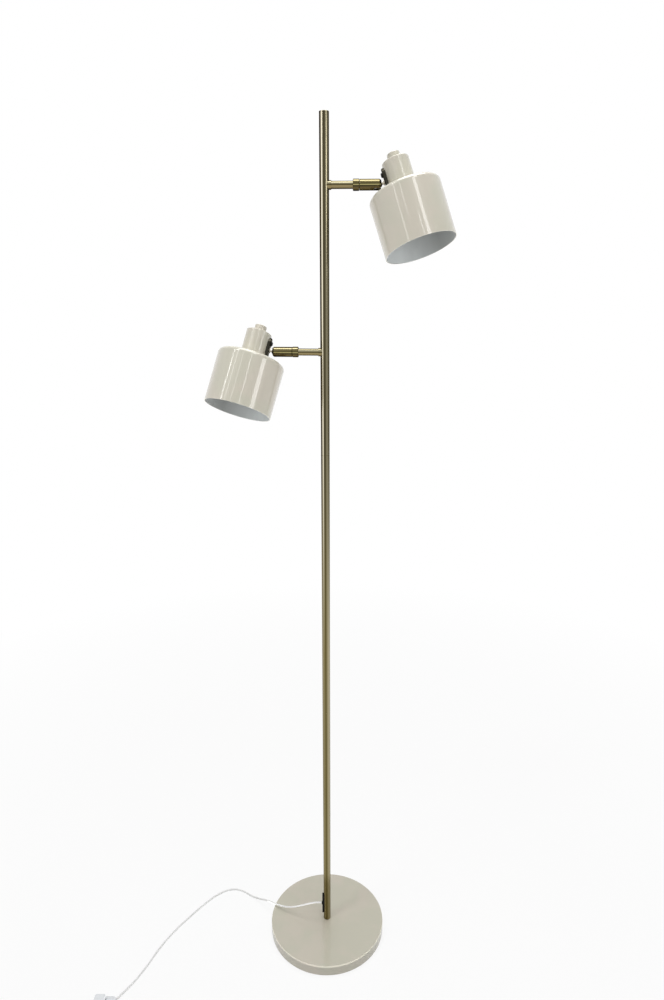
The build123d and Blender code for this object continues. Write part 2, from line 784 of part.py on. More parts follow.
coil, coil_start, coil_end = cord_coil()
coil_route = [
    exit_end, exit_run, (-380.8, -279.1, 3.8), (-372.3, -287.6, 2.4),
    (-361.2, coil_start.Y, coil_start.Z), tuple(coil_start),
]
plug_entry = (-300.0, coil_end.Y - 1.0, plug_height)
plug_place = Location(Plane(plug_entry, x_dir=(0, 0, 1), z_dir=(1, -0.06, 0)))
plug_run = in_world(plug_place, (0, 0, -8.0))
plug_route = [
    tuple(coil_end), (coil_end.X + 10.0, coil_end.Y, coil_end.Z),
    (coil_end.X + 23.0, coil_end.Y - 0.2, 9.8), plug_run, plug_entry,
]

save("cord_to_foot_switch", tube_along("cord_to_foot_switch", lamp_route))
save("cord_to_coil", tube_along("cord_to_coil", coil_route))
save("cord_coil", coil)
save("cord_to_plug", tube_along("cord_to_plug", plug_route))


# Plug ------------------------------------------------------------------------------------


def plug_body():
    """Flat two-pin plug: a tapered strain relief that widens into a six-sided grip."""
    sections = [
        Plane.XY * Ellipse(2.6, 2.9),
        Plane.XY.offset(10.0) * Ellipse(4.2, 5.2),
        Plane.XY.offset(22.0) * RectangleRounded(13.0, 20.0, 3.0),
        Plane.XY.offset(plug_body_length) * RectangleRounded(13.6, 26.0, 3.0),
    ]
    body = loft([sections[0], sections[1]], ruled=True)
    body += loft([sections[2], sections[3]], ruled=True)
    bridge = loft([sections[1], Plane.XY.offset(22.0) * Ellipse(6.4, 9.6)], ruled=True)
    return body + bridge


def plug_pins():
    """Two round pins with rounded ends."""
    pins = []
    for side in (-1, 1):
        pin = turned(
            (0, plug_body_length), (2.0, plug_body_length),
            (2.0, plug_body_length + plug_pin_length - 1.0),
            (1.0, plug_body_length + plug_pin_length), (0, plug_body_length + plug_pin_length),
        )
        pins.append(Pos(0, side * plug_pin_spacing / 2, 0) * pin)
    return pins


save("plug_body", plug_place * plug_body())
save("plug_pins", *[plug_place * pin for pin in plug_pins()])

for side, direction, height, tilt, twist in (
    ("right", 1, right_arm_height, right_tilt, right_twist),
    ("left", -1, left_arm_height, left_tilt, left_twist),
):
    stud, head = head_places(direction, height, tilt, twist)
    out = Vector(*in_world(stud, (1, 0, 0))) - Vector(*in_world(stud, (0, 0, 0)))
    up = Vector(*in_world(head, (0, 0, 1))) - Vector(*in_world(head, (0, 0, 0)))
    print(side, "ball", [round(v, 2) for v in in_world(stud, (0, 0, 0))],
          "stud way", [round(v, 5) for v in out], "head axis", [round(v, 5) for v in up],
          "shade top", [round(v, 2) for v in in_world(head, (0, 0, 0))])
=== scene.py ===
from math import cos, pi, radians, sin

import bmesh
import bpy
from mathutils import Matrix, Vector


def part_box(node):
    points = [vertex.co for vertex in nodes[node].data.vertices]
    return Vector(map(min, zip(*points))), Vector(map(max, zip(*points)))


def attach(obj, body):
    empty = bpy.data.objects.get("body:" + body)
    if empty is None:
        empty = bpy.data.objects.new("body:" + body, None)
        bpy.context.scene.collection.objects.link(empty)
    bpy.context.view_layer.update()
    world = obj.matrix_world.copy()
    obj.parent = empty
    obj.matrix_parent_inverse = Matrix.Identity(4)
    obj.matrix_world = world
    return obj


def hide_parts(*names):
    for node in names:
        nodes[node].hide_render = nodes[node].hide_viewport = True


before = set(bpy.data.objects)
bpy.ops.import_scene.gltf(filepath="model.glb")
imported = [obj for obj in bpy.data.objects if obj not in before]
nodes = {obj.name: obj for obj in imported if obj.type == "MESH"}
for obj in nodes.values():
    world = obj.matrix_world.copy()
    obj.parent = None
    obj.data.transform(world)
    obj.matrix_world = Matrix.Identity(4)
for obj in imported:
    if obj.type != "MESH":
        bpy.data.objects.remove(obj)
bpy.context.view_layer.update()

# Camera ----------------------------------------------------------------------------------
# A camera a little under the upper spot's height, a good metre from the pole and tipped
# down, so that the pole widens upwards and the base is seen from above.

PHOTO_WIDTH, PHOTO_HEIGHT = 664, 1000
FOCAL_PIXELS = 720.5
AXIS_PIXEL = (333.4, 543.9)
FILM_HEIGHT = 36.0
CAMERA_PLACE = (0.0926, -1.1373, 1.291)
CAMERA_DOWN, CAMERA_TURN = radians(20.62), radians(4.0)

camera_data = bpy.data.cameras.new("camera")
camera_data.sensor_fit = "VERTICAL"
camera_data.sensor_height = FILM_HEIGHT
camera_data.lens = FOCAL_PIXELS * FILM_HEIGHT / PHOTO_HEIGHT
camera_data.shift_x = (PHOTO_WIDTH / 2 - AXIS_PIXEL[0]) / PHOTO_HEIGHT
camera_data.shift_y = (AXIS_PIXEL[1] - PHOTO_HEIGHT / 2) / PHOTO_HEIGHT
camera_data.clip_start = 0.05
camera = bpy.data.objects.new("camera", camera_data)
camera.location = CAMERA_PLACE
camera.rotation_euler = (pi / 2 - CAMERA_DOWN, 0, CAMERA_TURN)
bpy.context.scene.collection.objects.link(camera)
bpy.context.scene.camera = camera
bpy.context.scene.view_settings.view_transform = "Standard"

# Cord ------------------------------------------------------------------------------------
# A white two-core lead of 3.4 mm. It comes out of the grommet, hangs over the base's edge
# to the floor and runs to the foot switch; the rest is wound up with a tie, out of view.


class Socket:
    """A node socket. Sums and products of sockets add Math nodes to the material."""

    def __init__(self, tree, plug=None):
        self.tree = tree
        self.plug = plug

    def node(self, kind, inputs=None, output=0, stops=None, **settings):
        """A node of any type: its settings, ramp stops, and the values or links of its sockets."""
        made = self.tree.nodes.new(kind)
        for name, value in settings.items():
            setattr(made, name, value)
        if stops:
            ramp = made.color_ramp
            while len(ramp.elements) < len(stops):
                ramp.elements.new(0.5)
            for element, (place, shade) in zip(ramp.elements, stops):
                element.position = place
                element.color = (shade, shade, shade, 1) if isinstance(shade, float) else (*shade, 1)
        for name, value in (inputs or {}).items():
            if isinstance(value, Socket):
                self.tree.links.new(value.plug, made.inputs[name])
            else:
                made.inputs[name].default_value = value
        return Socket(self.tree, made.outputs[output])

    def maths(self, operation, *values):
        return self.node("ShaderNodeMath", dict(enumerate(values)), operation=operation)

    def __add__(self, other):
        return self.maths("ADD", self, other)

    def __radd__(self, other):
        return self.maths("ADD", other, self)

    def __sub__(self, other):
        return self.maths("SUBTRACT", self, other)

    def __rsub__(self, other):
        return self.maths("SUBTRACT", other, self)

    def __mul__(self, other):
        return self.maths("MULTIPLY", self, other)

    def __rmul__(self, other):
        return self.maths("MULTIPLY", other, self)

    def between(self, low, high):
        """0 below low, 1 above high, and an even rise from one to the other."""
        return self.node("ShaderNodeMapRange", {"Value": self, "From Min": low, "From Max": high})

    def mix(self, below, above):
        """One colour where this is 0, another where it is 1 (the node's sockets 6 and 7)."""
        colours = [(*shade, 1) if isinstance(shade, tuple) else shade for shade in (below, above)]
        return self.node(
            "ShaderNodeMix", {0: self, 6: colours[0], 7: colours[1]}, data_type="RGBA", output=2)


class Finish:
    """A material with one Principled shader, whose sockets are given by name."""

    def __init__(self, name, **sockets):
        self.material = bpy.data.materials.new(name)
        self.material.use_nodes = True
        tree = self.material.node_tree
        self.shader = tree.nodes["Principled BSDF"]
        self.tree = Socket(tree)
        self.place = self.tree.node("ShaderNodeTexCoord", output="Object")
        for socket, value in sockets.items():
            self.set(socket.replace("_", " ").title().replace("Ior", "IOR"), value)

    def set(self, name, value):
        """Links a shader socket, or gives it a number or a colour."""
        target = self.shader.inputs[name]
        if isinstance(value, Socket):
            self.tree.tree.links.new(value.plug, target)
        else:
            target.default_value = (*value, 1) if isinstance(value, tuple) else value

    def noise(self, size, detail=3.0, place=None):
        """Soft noise about this size in metres."""
        return self.tree.node(
            "ShaderNodeTexNoise",
            {"Vector": place or self.place, "Scale": 1 / size, "Detail": detail})

    def bump(self, height, depth, strength):
        """Relief of this depth in metres."""
        self.set("Normal", self.tree.node(
            "ShaderNodeBump", {"Height": height, "Distance": depth, "Strength": strength}))


def dress(finish, *names):
    """Gives CAD nodes one finish all over."""
    for name in names:
        mesh = nodes[name].data
        mesh.materials.clear()
        mesh.materials.append(finish.material)


CORD_DIAMETER = 0.0034
CORD_RADIUS = CORD_DIAMETER / 2
CORD_FLOOR = CORD_RADIUS + 0.00005
OUTLET_HEIGHT = 0.0635
OUTLET = (-0.011, 0, OUTLET_HEIGHT)
SWITCH_TURN = radians(4.0)
SWITCH_PLACE = Matrix.Translation((-0.4, -0.231, 0)) @ Matrix.Rotation(SWITCH_TURN, 4, "Z")
PORT_HEIGHT, PORT_ACROSS, SEAT_DEPTH = 0.0055, 0.012, 0.003
ENTRY_ANGLE = radians(30)
ENTRY_WAY = Vector((sin(ENTRY_ANGLE), cos(ENTRY_ANGLE), 0))
ENTRY_FACE = Vector((PORT_ACROSS, 0.023, PORT_HEIGHT)) + 0.010 * ENTRY_WAY
EXIT_WAY = Vector((0, -1, 0))
EXIT_FACE = Vector((PORT_ACROSS, -0.033, PORT_HEIGHT))


def on_switch(point):
    """A point of the foot switch, given from the floor under its middle."""
    return tuple(SWITCH_PLACE @ point)


LAMP_ROUTE = [
    OUTLET, (-0.024, 0, OUTLET_HEIGHT), (-0.046, 0.001, 0.054), (-0.069, 0.004, 0.042),
    (-0.090, 0.010, 0.034), (-0.112, 0.020, 0.0305), (-0.133, 0.037, 0.021),
    (-0.152, 0.051, 0.008), (-0.173, 0.064, CORD_FLOOR), (-0.196, 0.078, CORD_FLOOR),
    (-0.222, 0.080, CORD_FLOOR), (-0.246, 0.065, CORD_FLOOR), (-0.268, 0.040, CORD_FLOOR),
    (-0.291, 0.006, CORD_FLOOR), (-0.318, -0.037, CORD_FLOOR), (-0.337, -0.079, CORD_FLOOR),
    (-0.3485, -0.119, CORD_FLOOR), (-0.3615, -0.151, CORD_FLOOR), (-0.3715, -0.172, 0.0032),
    on_switch(ENTRY_FACE + 0.008 * ENTRY_WAY), on_switch(ENTRY_FACE - SEAT_DEPTH * ENTRY_WAY),
]

COIL_CENTRE = (-0.347, -0.267)
COIL_PITCH = 0.004
COIL_MEAN_RADIUS = 0.0204
COIL_FLOOR = CORD_FLOOR + 0.00025
COIL_LAYERS, TURNS_PER_LAYER, POINTS_PER_TURN = 4, 2.5, 16
CLIMB_TURNS = 0.25


def coil_point(turn):
    """Centre of the cord after so many turns: layers spiral in and out, one above the other."""
    layer = min(int(turn / TURNS_PER_LAYER), COIL_LAYERS - 1)
    into = turn - layer * TURNS_PER_LAYER
    outer = COIL_MEAN_RADIUS + COIL_PITCH * TURNS_PER_LAYER / 2
    inner = outer - COIL_PITCH * TURNS_PER_LAYER
    radius = outer - COIL_PITCH * into if layer % 2 == 0 else inner + COIL_PITCH * into
    height = COIL_FLOOR + COIL_PITCH * layer
    for reversal in range(1, COIL_LAYERS):
        away = turn - reversal * TURNS_PER_LAYER
        if abs(away) < CLIMB_TURNS:
            height = COIL_FLOOR + COIL_PITCH * (reversal - 0.5 + 0.5 * away / CLIMB_TURNS)
    angle = 2 * pi * turn - pi / 2
    radius /= cos(pi / POINTS_PER_TURN)
    return (COIL_CENTRE[0] + radius * cos(angle), COIL_CENTRE[1] + radius * sin(angle), height)


COIL_START_Y = coil_point(0)[1]
COIL_END_Z = coil_point(COIL_LAYERS * TURNS_PER_LAYER)[2]
PLUG_ENTRY = Vector((-0.300, COIL_START_Y - 0.001, 0.007))
PLUG_WAY = Vector((1, -0.06, 0)).normalized()
turns = [
    coil_point(step / POINTS_PER_TURN)
    for step in range(round(COIL_LAYERS * TURNS_PER_LAYER * POINTS_PER_TURN) + 1)
]
PLUG_ROUTE = [
    on_switch(EXIT_FACE - SEAT_DEPTH * EXIT_WAY), on_switch(EXIT_FACE + 0.005 * EXIT_WAY),
    (-0.3808, -0.2791, 0.0038), (-0.3723, -0.2876, 0.0024), (-0.3612, COIL_START_Y, COIL_FLOOR),
    *turns,
    (COIL_CENTRE[0] + 0.0134, COIL_START_Y, COIL_END_Z),
    (COIL_CENTRE[0] + 0.0264, COIL_START_Y - 0.0002, 0.0098),
    tuple(PLUG_ENTRY - 0.008 * PLUG_WAY), tuple(PLUG_ENTRY),
]


def spline_length(points):
    """Length of the smooth line that a route's points control."""
    corners = [Vector(point) for point in points]
    knots = [corners[0]] + [(a + b) / 2 for a, b in zip(corners[1:-2], corners[2:-1])] + [corners[-1]]
    steps = 12
    total = 0.0
    for start, corner, end in zip(knots, corners[1:-1], knots[1:]):
        spots = [
            (1 - t) ** 2 * start + 2 * t * (1 - t) * corner + t * t * end
            for t in (step / steps for step in range(steps + 1))
        ]
        total += sum((b - a).length for a, b in zip(spots, spots[1:]))
    return total


def lay_cord(name, route, replaced):
    """A round cord along a route's own smooth line."""
    curve = bpy.data.curves.new(name, "CURVE")
    curve.dimensions = "3D"
    line = curve.splines.new("NURBS")
    line.points.add(len(route) - 1)
    for point, place in zip(line.points, route):
        point.co = (*place, 1)
    line.order_u = 3
    line.use_endpoint_u = True
    line.resolution_u = 6
    curve.bevel_depth = CORD_RADIUS
    curve.bevel_resolution = 6
    curve.use_fill_caps = True
    curve.materials.append(cord_finish.material)
    piece = bpy.data.objects.new(name, curve)
    bpy.context.scene.collection.objects.link(piece)
    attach(piece, "stand")
    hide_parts(*replaced)
    round(spline_length(route), 3)


cord_finish = Finish("cord_sheath", roughness=0.42)
scuffs = cord_finish.noise(0.03, 4.0).between(0.45, 0.75)
cord_finish.set("Base Color", scuffs.mix((0.80, 0.80, 0.79), (0.72, 0.715, 0.70)))
cord_finish.bump(cord_finish.noise(0.0006, 2.0), 0.00003, 0.4)

TIE_WIDTH, TIE_THICKNESS, TIE_CORNER, TIE_SLACK = 0.004, 0.0002, 0.0022, 0.0004
TIE_TURN = radians(205)
TIE_CORNER_STEPS = 5
BUNDLE_HALF = COIL_PITCH * TURNS_PER_LAYER / 2 + CORD_RADIUS + TIE_SLACK
BUNDLE_TOP = COIL_FLOOR + COIL_PITCH * (COIL_LAYERS - 1) + CORD_RADIUS + TIE_SLACK


def coil_tie():
    """A flat plastic tie round the coil's bundle, in one closed loop with rounded corners."""
    low, high = TIE_CORNER + TIE_THICKNESS, BUNDLE_TOP - TIE_CORNER
    outline = []
    for number, (side, up) in enumerate(((1, low), (1, high), (-1, high), (-1, low))):
        for step in range(TIE_CORNER_STEPS + 1):
            angle = pi / 2 * (number - 1 + step / TIE_CORNER_STEPS)
            across = side * (BUNDLE_HALF - TIE_CORNER) + TIE_CORNER * cos(angle)
            outline.append((across, up + TIE_CORNER * sin(angle)))
    shape = bmesh.new()
    rows = [
        [shape.verts.new((COIL_MEAN_RADIUS + across, edge, up)) for across, up in outline]
        for edge in (-TIE_WIDTH / 2, TIE_WIDTH / 2)
    ]
    for here in range(len(outline)):
        after = (here + 1) % len(outline)
        shape.faces.new((rows[0][here], rows[0][after], rows[1][after], rows[1][here]))
    mesh = bpy.data.meshes.new("coil_tie")
    shape.transform(
        Matrix.Translation((*COIL_CENTRE, 0)) @ Matrix.Rotation(TIE_TURN, 4, "Z"))
    shape.to_mesh(mesh)
    mesh.shade_smooth()
    tie = bpy.data.objects.new("coil_tie", mesh)
    bpy.context.scene.collection.objects.link(tie)
    wall = tie.modifiers.new("wall", "SOLIDIFY")
    wall.thickness = TIE_THICKNESS
    wall.offset = 1.0
    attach(tie, "stand")
    return tie


tie = coil_tie()
tie_finish = Finish("tie_plastic", base_color=(0.03, 0.03, 0.03), roughness=0.35)
tie_finish.bump(tie_finish.noise(0.0008, 2.0), 0.00002, 0.4)
tie.data.materials.append(tie_finish.material)

lay_cord("lamp_cord", LAMP_ROUTE, ["cord_to_foot_switch"])
lay_cord(
    "plug_cord", PLUG_ROUTE, ["cord_to_coil", "cord_coil", "cord_to_plug"])

# Floor, background and lights ------------------------------------------------------------
# A white floor that keeps the lamp's faint shadow, under a white surround. A box above, two
# small keys, dim side boxes and light off the floor show the paint as it is; narrow lamps
# high in front draw the streaks on the shades.

FLOOR_REACH = 30
floor_mesh = bpy.data.meshes.new("floor")
floor_mesh.from_pydata(
    [(FLOOR_REACH * x, FLOOR_REACH * y, 0) for x, y in ((-1, -1), (1, -1), (1, 1), (-1, 1))],
    [], [(0, 1, 2, 3)])
floor = bpy.data.objects.new("floor", floor_mesh)
bpy.context.scene.collection.objects.link(floor)


def seen_ray(start):
    """1 for rays from the camera, and for those that come by way of metal or glass."""
    rays = start.node("ShaderNodeLightPath", output="Is Camera Ray")
    ways = rays.plug.node.outputs
    seen = rays.maths("MAXIMUM", rays, Socket(start.tree, ways["Is Glossy Ray"]))
    return seen.maths("MAXIMUM", seen, Socket(start.tree, ways["Is Transmission Ray"]))


GLOW_NEAR, GLOW_NEAR_REACH, GLOW_FULL_REACH = 0.82, 0.6, 1.8
floor_finish = Finish("floor", roughness=0.9, specular_ior_level=0.0)
seen = seen_ray(floor_finish.tree)
floor_finish.set("Base Color", seen.mix((0.9, 0.9, 0.9), (0.92, 0.92, 0.92)))
distance = floor_finish.tree.node(
    "ShaderNodeVectorMath", {"Vector": floor_finish.place}, output=1, operation="LENGTH")
glow = floor_finish.tree.node("ShaderNodeEmission", {"Color": (1, 1, 1, 1), "Strength": 1.0})
glow_growth = distance.between(GLOW_NEAR_REACH, GLOW_FULL_REACH)
glow_share = seen * (GLOW_NEAR + (1 - GLOW_NEAR) * glow_growth)
floor_nodes = floor_finish.material.node_tree
lit_floor = Socket(floor_nodes, floor_finish.shader.outputs[0])
floor_mix = floor_finish.tree.node("ShaderNodeMixShader", {0: glow_share, 1: lit_floor, 2: glow})
floor_nodes.links.new(floor_mix.plug, floor_nodes.nodes["Material Output"].inputs["Surface"])
floor_mesh.materials.append(floor_finish.material)

SKY_LEVEL = 0.32
world = bpy.data.worlds.new("studio")
world.use_nodes = True
bpy.context.scene.world = world
sky = Socket(world.node_tree)
backdrop = world.node_tree.nodes["Background"]
backdrop.inputs["Color"].default_value = (1, 1, 1, 1)
sky_strength = SKY_LEVEL + (1 - SKY_LEVEL) * seen_ray(sky)
world.node_tree.links.new(sky_strength.plug, backdrop.inputs["Strength"])


def soft_lamp(name, place, aim, width, height, radiance):
    """A rectangular studio lamp that faces a point and shines evenly at this radiance."""
    data = bpy.data.lights.new(name, "AREA")
    data.shape = "RECTANGLE"
    data.size, data.size_y = width, height
    data.energy = radiance * pi * width * height
    lamp = bpy.data.objects.new(name, data)
    lamp.location = place
    lamp.rotation_euler = (Vector(aim) - Vector(place)).to_track_quat("-Z", "Y").to_euler()
    bpy.context.scene.collection.objects.link(lamp)
    return lamp


UPPER_SHADE, LOWER_SHADE = (0.12, 0, 1.37), (-0.12, 0, 1.14)
BASE, MIDDLE = (0, 0, 0), (0, 0, 0.9)
soft_lamp("top", (0.1, 0.2, 3.2), BASE, 1.6, 1.6, 5.5)
soft_lamp("key_left", (-1.15, -1.0, 2.9), BASE, 0.35, 0.35, 21.0)
soft_lamp("key_right", (0.85, -0.95, 3.1), BASE, 0.35, 0.35, 9.0)
soft_lamp("left_box", (-3.3, -1.3, 1.7), MIDDLE, 3.0, 3.0, 0.25)
soft_lamp("right_box", (3.3, -1.0, 1.7), MIDDLE, 3.0, 3.0, 0.03)
floor_bounce = soft_lamp("floor_bounce", (0, -0.3, 0.02), (0, -0.3, 1), 2.0, 1.8, 2.1)
floor_bounce.visible_glossy = False
soft_lamp("upper_line", (-1.60, -2.03, 2.25), UPPER_SHADE, 0.15, 0.6, 4.0)
soft_lamp("upper_streak", (1.07, -1.83, 3.08), UPPER_SHADE, 0.42, 0.5, 6.0)
soft_lamp("lower_line", (-2.22, -1.27, 2.99), LOWER_SHADE, 0.14, 0.7, 12.0)
soft_lamp("lower_streak", (1.81, -1.17, 1.66), LOWER_SHADE, 0.50, 0.5, 5.5)
soft_lamp("glint_1", (0.53, -2.18, 2.57), LOWER_SHADE, 0.10, 0.7, 6.0)
soft_lamp("glint_2", (-1.79, -1.83, 3.05), LOWER_SHADE, 0.10, 0.7, 6.0)
soft_lamp("glint_3", (-0.85, -2.35, 3.0), LOWER_SHADE, 0.10, 0.7, 4.0)

# Base ------------------------------------------------------------------------------------
# A pressed steel cover in baked sand paint over a cast iron disc, on a felt pad; a stud and
# a nut hold them to the pole.

SAND = (0.555, 0.515, 0.43)
SAND_COOL = (0.525, 0.505, 0.412)


def sand_paint(name, roughness, gloss):
    """Glossy lacquer over sand paint: a faint orange peel, cooler in broad clouds."""
    finish = Finish(name, roughness=roughness, coat_weight=gloss, coat_roughness=0.03)
    clouds = finish.noise(0.05, 2.0).between(0.42, 0.58)
    finish.set("Base Color", clouds.mix(SAND, SAND_COOL))
    finish.bump(finish.noise(0.0022, 2.0), 0.00003, 0.2)
    return finish


base_paint = sand_paint("base_paint", 0.42, 0.6)
dress(base_paint, "base_cover")

iron = Finish("cast_iron", roughness=0.6, metallic=0.8)
iron.set("Base Color", iron.noise(0.006).mix((0.09, 0.09, 0.09), (0.2, 0.19, 0.18)))
iron.bump(iron.noise(0.0012, 5.0), 0.0003, 0.7)
dress(iron, "base_weight")

felt = Finish("black_felt", roughness=0.95, sheen_weight=0.5)
felt.set("Base Color", felt.noise(0.0009, 4.0).mix((0.012, 0.012, 0.013), (0.05, 0.05, 0.05)))
felt.bump(felt.noise(0.0006, 5.0), 0.0004, 0.9)
dress(felt, "base_pad")

zinc = Finish("zinc_steel", metallic=1.0)
zinc.set("Roughness", 0.22 + 0.22 * zinc.noise(0.002))
zinc.set("Base Color", zinc.noise(0.004).mix((0.5, 0.5, 0.52), (0.68, 0.68, 0.66)))
dress(zinc, "base_stud", "foot_nut", "pole_couplings", "arm_nuts", "journal_nuts", "foot_switch_screws")

# Pole ------------------------------------------------------------------------------------
# Three drawn brass tubes screwed end to end, with a flat cap. Their colour holds painted
# reflections: dark and bright bands down the tube, set by the angle round it, darker and greyer at the
# top than at the foot.

POLE_REFLECTIONS_HIGH = [
    (0.0, (0.05, 0.042, 0.03)), (0.22, (0.04, 0.032, 0.022)), (0.30, (0.10, 0.085, 0.06)),
    (0.33, (0.90, 0.84, 0.68)), (0.395, (0.80, 0.73, 0.55)), (0.42, (0.05, 0.042, 0.022)),
    (0.56, (0.045, 0.038, 0.02)), (0.61, (0.20, 0.18, 0.115)), (0.72, (0.21, 0.19, 0.13)),
    (0.77, (0.045, 0.038, 0.023)), (0.86, (0.08, 0.072, 0.05)), (0.94, (0.34, 0.33, 0.28)),
]
POLE_REFLECTIONS_LOW = [
    (0.0, (0.52, 0.48, 0.38)), (0.20, (0.44, 0.39, 0.27)), (0.33, (0.25, 0.21, 0.11)),
    (0.43, (0.21, 0.17, 0.06)), (0.47, (0.11, 0.085, 0.026)), (0.53, (0.12, 0.095, 0.032)),
    (0.59, (0.27, 0.225, 0.11)), (0.74, (0.43, 0.38, 0.25)), (0.92, (0.64, 0.60, 0.49)),
]
ROD_REFLECTIONS = [
    (0.0, (0.03, 0.022, 0.01)), (0.18, (0.05, 0.04, 0.018)), (0.26, (0.27, 0.21, 0.105)),
    (0.43, (0.33, 0.265, 0.13)), (0.465, (0.07, 0.055, 0.022)), (0.53, (0.06, 0.05, 0.02)),
    (0.57, (0.22, 0.20, 0.12)), (0.68, (0.36, 0.335, 0.23)), (0.76, (0.17, 0.155, 0.095)),
    (0.81, (0.03, 0.024, 0.012)),
]
BARREL_REFLECTIONS = [
    (0.0, (0.02, 0.015, 0.007)), (0.17, (0.03, 0.022, 0.009)), (0.26, (0.13, 0.095, 0.036)),
    (0.36, (0.10, 0.072, 0.027)), (0.40, (0.02, 0.015, 0.006)), (0.45, (0.035, 0.027, 0.009)),
    (0.48, (0.50, 0.44, 0.19)), (0.51, (0.36, 0.32, 0.13)), (0.53, (0.05, 0.042, 0.016)),
    (0.62, (0.13, 0.11, 0.045)), (0.72, (0.10, 0.085, 0.038)), (0.76, (0.36, 0.325, 0.20)),
    (0.79, (0.035, 0.028, 0.011)), (0.88, (0.015, 0.011, 0.005)),
]


# The pole's painted reflections pass from the foot's pattern to the top's over these heights.
HIGH_REFLECTIONS_FROM, HIGH_REFLECTIONS_TO = 0.65, 1.05
DRAWN_LINE, DRAWN_STRETCH, BAND_WAVER = 1 / 420, 0.008, 0.03
BRASS_DULL = (0.2, 0.17, 0.09)


def brass_with_painted_reflections(name, reflection_bands, axis_height=None):
    """Brass whose colour holds painted reflections in bands along its axis: an upright tube, or a rod
    along X at a height.
    """
    finish = Finish(name, metallic=1.0, specular_tint=(0.2, 0.18, 0.12))
    lengthwise = finish.place
    if axis_height is not None:
        lowered = finish.tree.node(
            "ShaderNodeMapping", {"Vector": finish.place, "Location": (0, 0, -axis_height)})
        lengthwise = finish.tree.node(
            "ShaderNodeMapping", {"Vector": lowered, "Rotation": (0, pi / 2, 0)})
    drawn = finish.tree.node(
        "ShaderNodeMapping", {"Vector": lengthwise, "Scale": (1, 1, DRAWN_STRETCH)})
    grain = finish.noise(DRAWN_LINE, place=drawn)
    angle = finish.tree.node(
        "ShaderNodeTexGradient", {"Vector": lengthwise}, output=1, gradient_type="RADIAL")
    across = angle.maths("PINGPONG", angle, 0.5) * 2 + BAND_WAVER * (grain - 0.5)
    # Painted reflections: colour bands set by the angle round the axis, in place of light and dark
    # surroundings mirrored in the brass.
    tones = [
        across.node("ShaderNodeValToRGB", {"Fac": across}, stops=stops) for stops in reflection_bands]
    tone = tones[0]
    if len(tones) > 1:
        height = finish.tree.node("ShaderNodeSeparateXYZ", {"Vector": finish.place}, output=2)
        tone = height.between(HIGH_REFLECTIONS_FROM, HIGH_REFLECTIONS_TO).mix(tones[0], tones[1])
    finish.set("Base Color", (grain.between(0.3, 0.7) * 0.3).mix(tone, BRASS_DULL))
    finish.set("Roughness", 0.12 + 0.12 * grain)
    return finish


pole_brass = brass_with_painted_reflections("pole_brass", [POLE_REFLECTIONS_LOW, POLE_REFLECTIONS_HIGH])
dress(pole_brass, "pole_lower", "pole_middle", "pole_upper", "pole_cap")

grommet = Finish("black_moulding", base_color=(0.006, 0.006, 0.006), specular_ior_level=0.1)
grommet.set("Roughness", 0.45 + 0.2 * grommet.noise(0.0005, 2.0))
dress(grommet, "cord_outlet", "right_rotary_switch", "left_rotary_switch")
dress(cord_finish, "inner_leads")

# Arms ------------------------------------------------------------------------------------
# Turned brass rods with a saddle at the pole, a collar and a barrel that turns on the rod
# and holds the ball; inside it are spring washers and a steel cup.

SIDES = ("right", "left")
arm_height, rod_brass, barrel_brass = {}, {}, {}
for side in SIDES:
    lowest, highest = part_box(f"{side}_arm_rod")
    arm_height[side] = (lowest.z + highest.z) / 2
    # Rods and barrels carry painted reflections in bands round their axes.
    rod_brass[side] = brass_with_painted_reflections(f"{side}_rod_brass", [ROD_REFLECTIONS], arm_height[side])
    barrel_brass[side] = brass_with_painted_reflections(f"{side}_barrel_brass", [BARREL_REFLECTIONS], arm_height[side])
spring_steel = Finish("spring_steel", base_color=(0.4, 0.39, 0.38), metallic=1.0)
spring_steel.set("Roughness", 0.28 + 0.2 * spring_steel.noise(0.0015))
ball_nickel = Finish("ball_nickel", roughness=0.2, metallic=1.0)
ball_nickel.set("Base Color", ball_nickel.noise(0.003).mix((0.42, 0.39, 0.33), (0.66, 0.63, 0.57)))
for name, brass in (("arm_saddles", rod_brass), ("joint_collars", barrel_brass)):
    mesh = nodes[name].data
    mesh.materials.clear()
    for side in SIDES:
        mesh.materials.append(brass[side].material)
    for polygon in mesh.polygons:
        polygon.material_index = 0 if polygon.center.x > 0 else 1
for side in SIDES:
    dress(rod_brass[side], f"{side}_arm_rod")
    dress(barrel_brass[side], f"{side}_joint_sleeve")
    dress(spring_steel, f"{side}_disc_springs", f"{side}_pressure_cup")
    dress(ball_nickel, f"{side}_ball_stud")
    dress(zinc, f"{side}_stud_nut", f"{side}_holder_strap")

# Heads -----------------------------------------------------------------------------------
# A spun shade and a small hood in sand paint, white inside the shade with painted shade deep
# inside and on the side away from the pole; a dark nickel bracket with a black screw; a pale
# moulded lampholder with its ring, and a frosted bulb.

ARM_TURN = {"right": 0, "left": pi}
HEAD_TILT = {"right": radians(19.2), "left": radians(15.1)}
HEAD_TWIST = {"right": radians(-14.8), "left": radians(23.3)}
BALL_REACH, HEAD_REACH, STUD_HEIGHT = 0.0775, 0.031, 0.020
SHADE_LENGTH, TOP_WALL_REGION = 0.0832, 0.02
WHITE_ENAMEL, ENAMEL_PAINTED_SHADE = (0.93, 0.96, 0.96), (0.20, 0.205, 0.195)
PAINTED_SHADE_REACH, PAINTED_SHADE_ACROSS_SHARE = 0.03, 0.8


def head_frame(side):
    """Frame of a head: its origin in the middle of the shade's top, Z along its axis."""
    arm = Matrix.Translation((0, 0, arm_height[side])) @ Matrix.Rotation(ARM_TURN[side], 4, "Z")
    ball = arm @ Matrix.Translation((BALL_REACH, 0, 0)) @ Matrix.Rotation(-HEAD_TILT[side], 4, "Y")
    turned = ball @ Matrix.Rotation(HEAD_TWIST[side], 4, "X")
    return turned @ Matrix.Translation((HEAD_REACH, 0, -STUD_HEIGHT))


